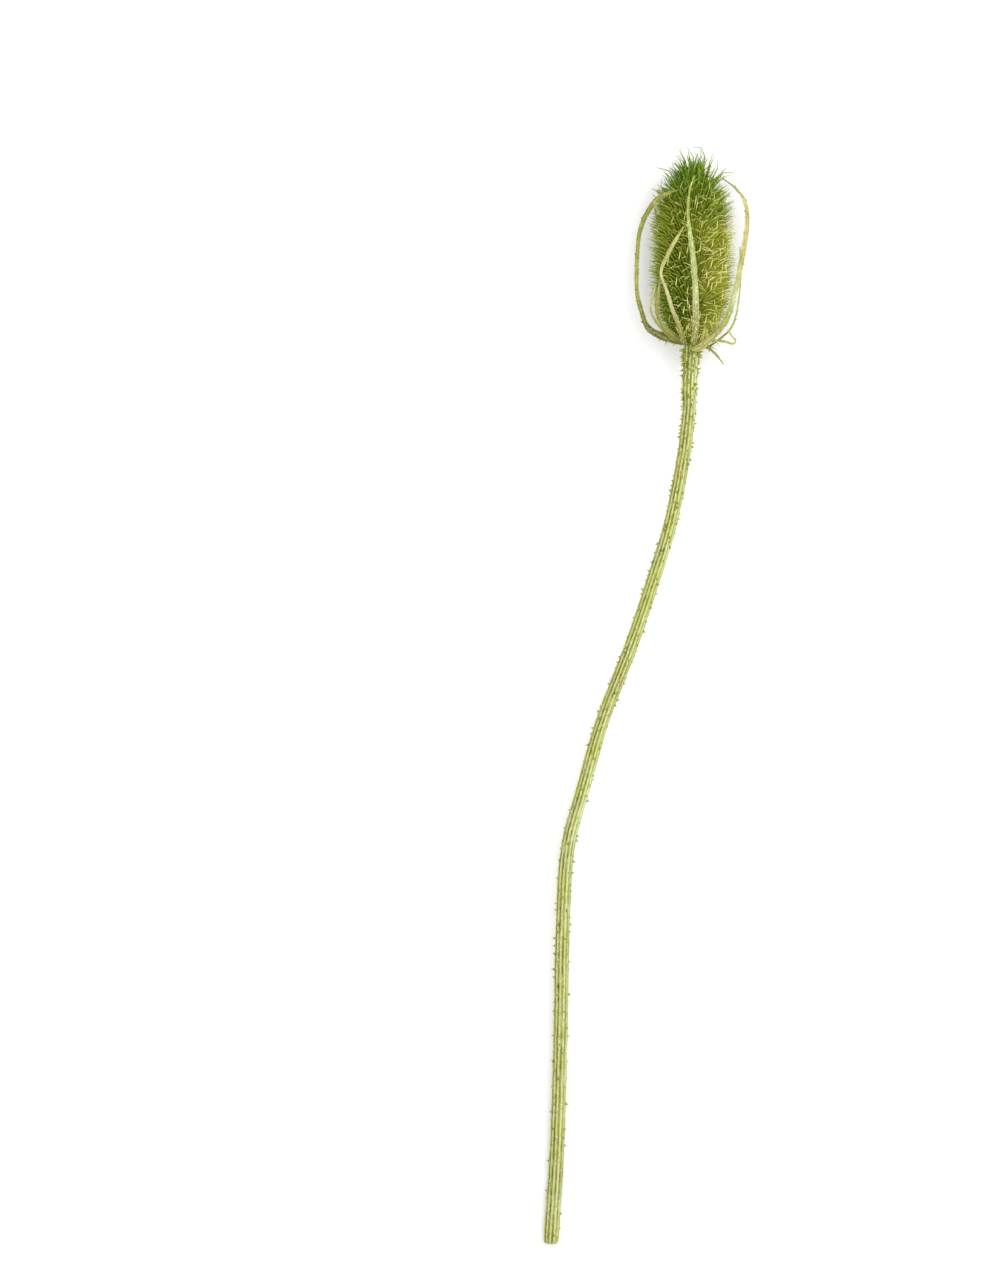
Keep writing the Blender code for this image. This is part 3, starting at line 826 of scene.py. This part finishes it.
def make_head():
    """The core and its bristles, set out in the spiral that a teasel has."""
    chance = random.Random(SEED)
    # Without a seed this noise follows the clock, and the tufts differ each time.
    noise.seed_set(SEED)
    core = make_core()
    calm = [model_bristle("calm_bristle", *kind) for kind in CALM_BRISTLES]
    bent = [model_bristle("bent_bristle", *kind) for kind in BENT_BRISTLES]
    upward = Vector((0, 1, 0))
    copies = []
    for points in CROWN_HAIRS:
        copies.append(make_hair("crown_hair", points, HAIR_RADIUS, CROWN_HAIR_SPAN))
    for points in BASE_HAIRS:
        copies.append(make_hair("base_hair", points, HAIR_RADIUS, BASE_HAIR_SPAN))
    for number, height in enumerate(bristle_heights(BRISTLE_COUNT)):
        azimuth = math.degrees(number * GOLDEN_ANGLE)
        root = round_axis(azimuth, value_at(CORE_OUTLINE, height), height)
        rise = value_at(BRISTLE_RISE, height)
        shorter = value_at(BRISTLE_SHORTER, height) * chance.random() ** SHORTER_OFTEN
        length = bristle_length(height, math.radians(rise)) * (1 - shorter)
        sway = value_at(BRISTLE_SWAY, height)
        tuft = noise.noise_vector(root / TUFT_SIZE) * TUFT_SWAY
        rise = math.radians(rise + tuft.x + chance.uniform(-sway, sway / 2))
        turn = math.radians(azimuth + tuft.y + chance.uniform(-sway, sway))
        outward = Vector((math.cos(turn), 0, math.sin(turn)))
        direction = outward * math.cos(rise) + upward * math.sin(rise)
        back = upward * math.cos(rise) - outward * math.sin(rise)
        side = max(math.cos(math.radians(azimuth - BENT_SIDE)), 0)
        is_bent = chance.random() < BENT_LEAST + (BENT_MOST - BENT_LEAST) * side
        tint = chance.uniform(TINT_OF_BENT, 1) if is_bent else chance.uniform(0, TINT_OF_BENT)
        breadth = chance.uniform(*BRISTLE_BREADTHS)
        matrix = aimed(root, direction, back, breadth, length / SCALE_LENGTH)
        copies.append(add_copy(chance.choice(bent if is_bent else calm), matrix, tint))
    join(core, copies)
    remove(*calm, *bent)
    return core


def stem_line():
    """Rows of right, up, height over the floor and radius along the stem."""
    top, bottom = STEM_PATH[0][1], STEM_PATH[-1][1]
    rows = []
    for right, up, radius in STEM_PATH:
        height = np.interp(up, (bottom, top), (STEM_END_HEIGHT, AXIS_HEIGHT))
        rows.append((BASE_X + right, BASE_Y + up, height, radius))
    return through(rows, STEM_STEPS)


def rib_outline(radius, along):
    """The ribbed cross-section, uneven round the stem and along it."""
    outline = []
    count = STEM_RIBS * RIB_CORNERS
    for number in range(count):
        turn = math.tau * number / count
        ridge = abs(math.cos(turn * STEM_RIBS / 2)) ** RIB_ROUNDNESS
        here = Vector((math.cos(turn), math.sin(turn), along * RIB_DRIFT))
        groove = GROOVE_DEPTH * (1 - GROOVES_DEEPER_LEFT * math.cos(turn) + noise.noise(here * 2))
        reach = radius * (1 - groove * (1 - ridge)) * (1 + STEM_UNEVEN * noise.noise(here * 3))
        outline.append((reach * math.cos(turn), reach * math.sin(turn)))
    return outline


def add_thorns(stem, line, frames):
    """Thorns along the ribs, crowded in a collar under the head."""
    chance = random.Random(SEED)
    kinds = []
    for lean in THORN_LEANS:
        kinds.append(model_prickle("thorn_model", THORN_RINGS, THORN_CORNERS, lean))
    copies = []
    for number in range(THORN_COUNT):
        share = ((number + chance.random()) / THORN_COUNT) ** THORN_THINNING
        up = BASE_Y + FIRST_THORN + (LAST_THORN - FIRST_THORN) * share
        at = int(np.searchsorted(-line[:, 1], -up))
        point, along, side, face, _ = frames[at]
        rib = (number * RIBS_TO_NEXT_THORN + chance.randrange(2)) % STEM_RIBS
        turn = math.tau * rib / STEM_RIBS + chance.uniform(-THORN_STRAY, THORN_STRAY)
        outward = side * math.cos(turn) + face * math.sin(turn)
        root = point + outward * line[at][3] * THORN_FOOT
        length = chance.uniform(*THORN_LENGTHS) * value_at(THORNS_LONGER, BASE_Y - up)
        if (root + outward * length).z > FLOOR_CLEARANCE:
            lean = outward + along * chance.uniform(-THORN_TILT, THORN_TILT)
            matrix = aimed(root, lean, -along, THORN_BREADTH * (0.4 + 0.5 * length), length)
            copies.append(add_copy(chance.choice(kinds), matrix, PRICKLE_TINT))
    join(stem, copies)
    remove(*kinds)


def make_stem():
    line = stem_line()
    frames = carried_frames([Vector(row[:3]) for row in line])
    rings = []
    for (point, _, side, face, along), row in zip(frames, line):
        rings.append(ring_of(point, side, face, along, rib_outline(row[3], along)))
    stem = draw_out("stem_ribbed", rings)
    bpy.ops.mesh.inset(thickness=PITH_MARGIN * MM, depth=-PITH_MARGIN * MM / 2)
    close_form(stem, to_point=False)
    set_tint(stem, STALK_TINT)
    roughen(stem, STEM_GRAIN, STEM_GRAIN_DEPTH)
    mark_grooves(stem)
    keep_off_table(stem.data)
    add_thorns(stem, line, frames)
    return stem


def mark_grooves(stem):
    """How deep in a groove each point of the stalk lies, from its place across the straight stem."""
    count = len(stem.data.vertices)
    flat = np.zeros(count * 3, np.float32)
    stem.data.attributes["straight"].data.foreach_get("vector", flat)
    turn = np.arctan2(flat[1::3], flat[0::3])
    depth = 1 - np.abs(np.cos(turn * STEM_RIBS / 2)) ** RIB_ROUNDNESS
    grooves = stem.data.attributes.new("groove", "FLOAT", "POINT")
    grooves.data.foreach_set("value", depth.astype(np.float32))


def bract_frames(rows, rolls):
    """Along a bract: its centre, the way it runs, its blade's side and outer face, its width,
    and how far along it is."""
    points = [round_axis(azimuth, radius, up) for azimuth, radius, up, _ in rows]
    middle = beside_axis(*BRACT_FACES_AWAY_FROM)
    frames = []
    side = None
    for number, (point, along, travelled) in enumerate(run_along(points)):
        across = along.cross(point - middle).normalized()
        side = -across if side is not None and across.dot(side) < 0 else across
        roll = math.radians(np.interp(number, (0, len(points) - 1), rolls))
        turned = Matrix.Rotation(roll, 3, along) @ side
        frames.append((point, along, turned, turned.cross(along), rows[number][3], travelled))
    return frames


def blade_rings(frames, shift):
    """Rings of a bract's blade, with uneven margins."""
    rings = []
    for number, (centre, _, side, face, width, along) in enumerate(frames):
        slim = 1 - (1 - TIP_THICKNESS) * number / (len(frames) - 1)
        wave = noise.noise(shift + Vector((0, 0, along * MARGIN_WAVES)))
        ruffle = MARGIN_RUFFLE * noise.noise(shift + Vector((0, 5, along * MARGIN_WAVES)))
        broad = width / 2 * (1 + MARGIN_DEPTH * wave)
        outline = [(x * broad, y * slim + ruffle * x * x) for x, y in BLADE]
        places = [place for place, _ in ring_of(centre, side, face, along, outline)]
        flats = [Vector((x * FLAT_BLADE, y, along)) for x, y in BLADE]
        rings.append(list(zip(places, flats)))
    centre, onward, _, _, _, along = frames[-1]
    tip = (centre + onward * TIP_LENGTH, Vector((0, 0, along + TIP_LENGTH)))
    rings.append([tip] * len(BLADE))
    return rings


def add_teeth(bract, frames, tooth, chance):
    """Fine teeth on both margins and on the midrib."""
    copies = []
    length = frames[-1][5]
    reach = TOOTH_EVERY
    while reach < length * TEETH_REACH:
        at = next(number for number, frame in enumerate(frames) if frame[5] >= reach)
        centre, along, side, face, width, _ = frames[at]
        edge = chance.choice((side, side, -side, -side, face))
        out = KEEL_HEIGHT if edge is face else width * MARGIN_AT
        root = centre + edge * out
        direction = edge + along * chance.uniform(0.1, 1.0) + face * chance.uniform(0, 0.5)
        size = chance.uniform(*TOOTH_LENGTHS)
        if chance.random() < LONG_TOOTH_SHARE:
            size *= LONG_TOOTH
        if (root + direction.normalized() * size).z > FLOOR_CLEARANCE:
            matrix = aimed(root, direction, -along, size, size)
            copies.append(add_copy(tooth, matrix, PRICKLE_TINT))
        reach += TOOTH_EVERY * chance.uniform(0.5, 1.5)
    join(bract, copies)


def make_bract(name, tooth):
    chance = random.Random(name)
    azimuth, _, up, width = BRACTS[name][0]
    line = ((azimuth, BRACT_ROOTED_AT, up, width),) + BRACTS[name]
    frames = bract_frames(through(line, BRACT_STEPS), BRACT_ROLLS.get(name, (0, 0)))
    shift = Vector((chance.random(), chance.random(), chance.random())) * 50
    bract = close_form(draw_out(name + "_blade", blade_rings(frames, shift)))
    set_tint(bract, STALK_TINT)
    roughen(bract, BRACT_GRAIN, BRACT_GRAIN_DEPTH)
    keep_off_table(bract.data)
    lines = BRACT_SPINES.get(name, ())
    spines = [make_hair("spine", points, SPINE_RADIUS, SPINE_SPAN) for points in lines]
    if spines:
        join(bract, spines)
    add_teeth(bract, frames, tooth, chance)
    return bract, frames[-1][5]


def node(tree, kind, inputs=None, **settings):
    """A shader node with its settings, and its inputs set or linked."""
    made = tree.nodes.new(kind)
    for key, value in settings.items():
        setattr(made, key, value)
    for key, value in (inputs or {}).items():
        give(tree, made.inputs[key], value)
    return made


def give(tree, socket, value):
    if isinstance(value, bpy.types.NodeSocket):
        tree.links.new(value, socket)
    else:
        socket.default_value = value


def ramp(tree, factor, stops):
    made = node(tree, "ShaderNodeValToRGB", {"Fac": factor})
    elements = made.color_ramp.elements
    while len(elements) < len(stops):
        elements.new(0.5)
    for element, (place, colour) in zip(elements, stops):
        element.position = place
        element.color = colour
    return made.outputs["Color"]


def mix(tree, factor, first, second, blend="MIX"):
    """Two colours mixed. A Mix node's colour sockets share their names with others, so they
    are taken by number."""
    made = node(tree, "ShaderNodeMix", data_type="RGBA", blend_type=blend)
    give(tree, made.inputs[0], factor)
    give(tree, made.inputs[6], first)
    give(tree, made.inputs[7], second)
    return made.outputs[2]


def fit(tree, value, low, high, to_low=0.0, to_high=1.0):
    """A value between low and high, as a share between two others."""
    limits = {"Value": value, "From Min": low, "From Max": high, "To Min": to_low, "To Max": to_high}
    return node(tree, "ShaderNodeMapRange", limits).outputs["Result"]


def from_base(tree, value, base, ends, to_low=0.0, to_high=1.0):
    """The same for a place, between two distances in millimetres from the base of the head."""
    low, high = ((base + end) * MM for end in ends)
    return fit(tree, value, low, high, to_low, to_high)


def times(tree, first, second):
    return node(tree, "ShaderNodeMath", {0: first, 1: second}, operation="MULTIPLY").outputs[0]


def grain(tree, place, scale, detail=3.0, roughness=0.5):
    inputs = {"Vector": place, "Scale": scale, "Detail": detail, "Roughness": roughness}
    return node(tree, "ShaderNodeTexNoise", inputs).outputs["Fac"]


def stretched(tree, place, scale):
    return node(tree, "ShaderNodeMapping", {"Vector": place, "Scale": scale}).outputs["Vector"]


def attribute(tree, name, output="Fac"):
    return node(tree, "ShaderNodeAttribute", attribute_name=name).outputs[output]


def split(tree, vector):
    return node(tree, "ShaderNodeSeparateXYZ", {"Vector": vector}).outputs


def new_group(name, inputs, outputs):
    group = bpy.data.node_groups.new(name, "ShaderNodeTree")
    for label, kind in inputs.items():
        group.interface.new_socket(label, in_out="INPUT", socket_type="NodeSocket" + kind)
    for label, kind in outputs.items():
        group.interface.new_socket(label, in_out="OUTPUT", socket_type="NodeSocket" + kind)
    return group, group.nodes.new("NodeGroupInput").outputs, group.nodes.new("NodeGroupOutput").inputs


def grouped(tree, group, inputs):
    """The outputs of a node group set into a tree."""
    return node(tree, "ShaderNodeGroup", inputs, node_tree=group).outputs


def fibre_group():
    """Dry plant fibre: fine streaks along the stalk, pale flecks, and the height of both, with painted
    shade in the dents between the flecks.
    """
    group, given, result = new_group(
        "dry_fibre",
        {"Straight": "Vector", "Pale": "Color", "Dark": "Color", "Mottle": "Float"},
        {"Color": "Color", "Height": "Float"},
    )
    fine = grain(group, stretched(group, given["Straight"], FINE_FIBRE), 1.0, 4.0, 0.6)
    coarse = grain(group, stretched(group, given["Straight"], COARSE_FIBRE), 1.0, 3.0, 0.6)
    colour = mix(group, fit(group, fine, 0.34, 0.62), given["Dark"], given["Pale"])
    colour = mix(group, fit(group, coarse, 0.36, 0.56, 0.45, 1.0), given["Dark"], colour)
    crumpled = grain(group, stretched(group, given["Straight"], CRUMPLES), 1.0, 5.0, 0.7)
    flecks = times(group, fit(group, crumpled, 0.51, 0.62), given["Mottle"])
    colour = mix(group, flecks, colour, screen("cream"))
    # Painted shade: darker in the dents, where the crumpled grain is lowest.
    dents = times(group, fit(group, crumpled, 0.47, 0.37), given["Mottle"])
    colour = mix(group, dents, colour, given["Dark"])
    group.links.new(colour, result["Color"])
    height = node(group, "ShaderNodeMath", {0: fine, 1: crumpled}, operation="ADD").outputs[0]
    group.links.new(height, result["Height"])
    return group


def dye_group():
    """Dye that took unevenly: patches of a second colour, with small dark specks."""
    group, given, result = new_group(
        "uneven_dye",
        {"Place": "Vector", "Color": "Color", "Dye": "Color", "Amount": "Float"},
        {"Color": "Color"},
    )
    patches = fit(group, grain(group, given["Place"], 90.0, 5.0, 0.65), 0.42, 0.66)
    colour = mix(group, times(group, patches, given["Amount"]), given["Color"], given["Dye"])
    specks = fit(group, grain(group, given["Place"], 1300.0, 2.0), 0.62, 0.72, 0.0, 0.55)
    colour = mix(group, specks, colour, screen("speck"))
    group.links.new(colour, result["Color"])
    return group


def new_material(name):
    material = bpy.data.materials.new(name)
    material.use_nodes = True
    tree = material.node_tree
    return material, tree, tree.nodes["Principled BSDF"]


def dry_finish(tree, shader, colour, roughness, height, bump):
    """What every dry surface has: its colour, little gloss, and grain that stands up."""
    give(tree, shader.inputs["Base Color"], colour)
    give(tree, shader.inputs["Roughness"], roughness)
    shader.inputs["Specular IOR Level"].default_value = DRY_GLOSS
    strength, distance = bump
    inputs = {"Height": height, "Strength": strength, "Distance": distance}
    give(tree, shader.inputs["Normal"], node(tree, "ShaderNodeBump", inputs).outputs["Normal"])


def head_material(dye, fibre):
    """Green in the depth, olive along the bristles, pale at their bent ends, greenest on the crown, with
    painted light on the lower right.
    """
    material, tree, shader = new_material("dyed_bristles")
    straight = attribute(tree, "straight", "Vector")
    tint = attribute(tree, "tint")
    place = node(tree, "ShaderNodeTexCoord").outputs["Object"]
    where = split(tree, place)
    share = fit(tree, split(tree, straight)["Z"], 0.0, SCALE_LENGTH * MM)
    olive = ramp(tree, share, [(at, screen(name)) for at, name in BRISTLE_COLOURS])
    green = ramp(tree, share, [(at, screen(name)) for at, name in CROWN_BRISTLE_COLOURS])
    # Painted light: the head is painted lighter and yellower towards its lower right.
    rightward = from_base(tree, where["X"], BASE_X, PAINTED_LIGHT_SIDE, 0.0, 0.85)
    low = from_base(tree, where["Y"], BASE_Y, PAINTED_LIGHT_FADES, 1.0, 0.3)
    colour = mix(tree, times(tree, rightward, low), olive, screen("painted_light_olive"))
    crown = from_base(tree, where["Y"], BASE_Y, CROWN_BEGINS)
    less_on_hairs = fit(tree, tint, 0.98, 0.99, 0.85, 0.3)
    colour = mix(tree, times(tree, crown, less_on_hairs), colour, green)
    dyed = grouped(tree, dye, {"Place": place, "Color": colour, "Dye": green, "Amount": 0.55})
    shade = ramp(tree, tint, BRISTLE_SHADES)
    toned = mix(tree, 1.0, dyed["Color"], shade, "MULTIPLY")
    bent = fit(tree, tint, TINT_OF_BENT - 0.02, TINT_OF_BENT, 0.22, 1.0)
    bent_end = times(tree, bent, fit(tree, share, *PALE_END))
    pale = times(tree, bent_end, fit(tree, low, 0.3, 1.0, 0.3, 1.0))
    toned = mix(tree, pale, toned, screen("bristle_tip"))
    streaks = grouped(tree, fibre, {"Straight": straight})
    roughness = fit(tree, share, 0.0, 1.0, *BRISTLE_ROUGHNESS)
    dry_finish(tree, shader, toned, roughness, streaks["Height"], BRISTLE_BUMP)
    return material


def prickly(tree, colour, root, tip):
    """A stalk's colour, with thorns and teeth in their own, where the tint is 1."""
    height = split(tree, attribute(tree, "straight", "Vector"))["Z"]
    thorn = ramp(tree, fit(tree, height, 0.0, 0.8 * MM), ((0.0, root), (1.0, tip)))
    return mix(tree, fit(tree, attribute(tree, "tint"), 0.5, 1.0), colour, thorn)


def stem_material(dye, fibre):
    """Straw with a mint side that is partly painted light, painted highlight on the rib crests, and painted
    shade in the grooves between the ribs, darkest on the left.
    """
    material, tree, shader = new_material("ribbed_stalk")
    straight = attribute(tree, "straight", "Vector")
    place = node(tree, "ShaderNodeTexCoord").outputs["Object"]
    across = split(tree, straight)["X"]
    inputs = {"Straight": straight, "Pale": screen("straw"), "Dark": screen("stalk_shade")}
    inputs["Mottle"] = STEM_MOTTLE
    streaks = grouped(tree, fibre, inputs)
    # A mint tint in patches towards the right side: partly the stalk's own colour, partly painted light, as
    # that side is lit and paler.
    drift = grain(tree, stretched(tree, straight, GREEN_DRIFTS), 1.0, 4.0, 0.6)
    rightward = fit(tree, across, -0.2 * MM, 1.6 * MM)
    minty = times(tree, fit(tree, drift, 0.4, 0.6), rightward)
    colour = mix(tree, minty, streaks["Color"], screen("pale_mint"))
    inputs = {"Place": place, "Color": colour, "Dye": screen("yellow_olive"), "Amount": 0.8}
    colour = grouped(tree, dye, inputs)["Color"]
    groove = attribute(tree, "groove")
    # Painted highlight: cream along the crests of the ribs.
    colour = mix(tree, fit(tree, groove, 0.02, 0.14, 0.35, 0.0), colour, screen("cream"))
    # Painted shade in the grooves between the ribs: strongest on the left side, weaker to the right, and
    # broken up along the stalk.
    depth = times(tree, fit(tree, groove, 0.2, 0.52), fit(tree, rightward, 0.0, 1.0, 1.0, 0.55))
    breaks = grain(tree, stretched(tree, straight, GROOVE_BREAKS), 1.0, 4.0, 0.65)
    colour = mix(tree, times(tree, depth, fit(tree, breaks, 0.4, 0.56, 0.2, 1.0)), colour, screen("groove"))
    stains = fit(tree, breaks, 0.6, 0.7, 0.0, 0.8)
    colour = mix(tree, stains, colour, screen("olive"))
    collar = fit(tree, split(tree, straight)["Z"], 0.0, COLLAR_LENGTH * MM, 0.35, 0.0)
    colour = mix(tree, collar, colour, screen("collar_green"))
    thorny = prickly(tree, colour, screen("thorn_root"), screen("thorn_tip"))
    dry_finish(tree, shader, thorny, STALK_ROUGHNESS, streaks["Height"], STALK_BUMP)
    return material


def bract_material(name, length, dye, fibre):
    """A blade whose colour changes along it, with a paler midrib and margins."""
    material, tree, shader = new_material(name + "_dry")
    straight = attribute(tree, "straight", "Vector")
    place = node(tree, "ShaderNodeTexCoord").outputs["Object"]
    flat = split(tree, straight)
    share = fit(tree, flat["Z"], 0.0, length * MM)
    names = BRACT_COLOURS[name]
    stops = [(number / (len(names) - 1), screen(colour)) for number, colour in enumerate(names)]
    body = ramp(tree, share, stops)
    dark = mix(tree, 0.55, body, screen("dark_olive"))
    mottle = MOTTLED_BRACTS.get(name, BRACT_MOTTLE)
    inputs = {"Straight": straight, "Pale": body, "Dark": dark, "Mottle": mottle}
    streaks = grouped(tree, fibre, inputs)
    out = node(tree, "ShaderNodeMath", {0: flat["X"]}, operation="ABSOLUTE").outputs[0]
    margin = fit(tree, out, 0.78 * FLAT_BLADE * MM, FLAT_BLADE * MM, 0.0, 0.6)
    rib = fit(tree, out, 0.05 * FLAT_BLADE * MM, 0.22 * FLAT_BLADE * MM, 0.5, 0.0)
    pale = mix(tree, 0.5, body, screen("cream"))
    colour = mix(tree, margin, streaks["Color"], pale)
    colour = mix(tree, rib, colour, pale)
    inputs = {"Place": place, "Color": colour, "Dye": screen("olive"), "Amount": 0.5}
    dyed = grouped(tree, dye, inputs)["Color"]
    toothed = prickly(tree, dyed, screen(names[1]), screen("beige"))
    dry_finish(tree, shader, toothed, BLADE_ROUGHNESS, streaks["Height"], STALK_BUMP)
    return material


def dress(piece, material, replaced):
    piece.data.materials.clear()
    piece.data.materials.append(material)
    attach(piece, "root")
    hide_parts(replaced)


def make_studio():
    deselect()
    bpy.ops.mesh.primitive_plane_add(size=FLOOR_SIZE)
    floor = bpy.context.object
    floor.name = "pale_floor"
    material, tree, shader = new_material("pale_paper")
    shader.inputs["Roughness"].default_value = PAPER_ROUGHNESS
    place = node(tree, "ShaderNodeTexCoord").outputs["Object"]
    greys = [(at, (value, value, value, 1)) for at, value in PAPER_GREYS]
    mottle = ramp(tree, grain(tree, place, PAPER_GRAIN), greys)
    tree.links.new(mottle, shader.inputs["Base Color"])
    floor.data.materials.append(material)
    world = bpy.data.worlds.new("studio")
    bpy.context.scene.world = world
    world.use_nodes = True
    sky = world.node_tree.nodes["Background"].inputs
    sky["Color"].default_value = (1, 1, 1, 1)
    sky["Strength"].default_value = SKY_STRENGTH
    for name, place, size, power in LAMPS:
        bpy.ops.object.light_add(type="AREA", location=place)
        lamp = bpy.context.object
        lamp.name = name
        lamp.data.size = size
        lamp.data.energy = power
        lamp.rotation_euler = (-Vector(place)).to_track_quat("-Z", "Y").to_euler()
    bpy.context.scene.view_settings.view_transform = "Standard"


def make_camera():
    """Straight over the teasel, with the photograph's frame."""
    right = (FRAME_CENTRE[0] - HEAD_BASE_PIXEL[0]) * MM_PER_PIXEL
    up = (HEAD_BASE_PIXEL[1] - FRAME_CENTRE[1]) * MM_PER_PIXEL
    place = beside_axis(right, CAMERA_DISTANCE, up) * MM
    bpy.ops.object.camera_add(location=place, rotation=(0, 0, 0))
    camera = bpy.context.object
    camera.data.sensor_width = SENSOR
    camera.data.lens = SENSOR * CAMERA_DISTANCE / (FRAME_HEIGHT_PIXELS * MM_PER_PIXEL)
    camera.data.clip_end = CAMERA_REACH
    bpy.context.scene.camera = camera


make_studio()
make_camera()
fibre = fibre_group()
dye = dye_group()

head = make_head()
dress(head, head_material(dye, fibre), "head")

stem = make_stem()
dress(stem, stem_material(dye, fibre), "stem")

tooth = model_prickle("tooth_model", TOOTH_RINGS, TOOTH_CORNERS, TOOTH_LEAN)
for name in BRACTS:
    bract, length = make_bract(name, tooth)
    dress(bract, bract_material(name, length, dye, fibre), name)
remove(tooth)
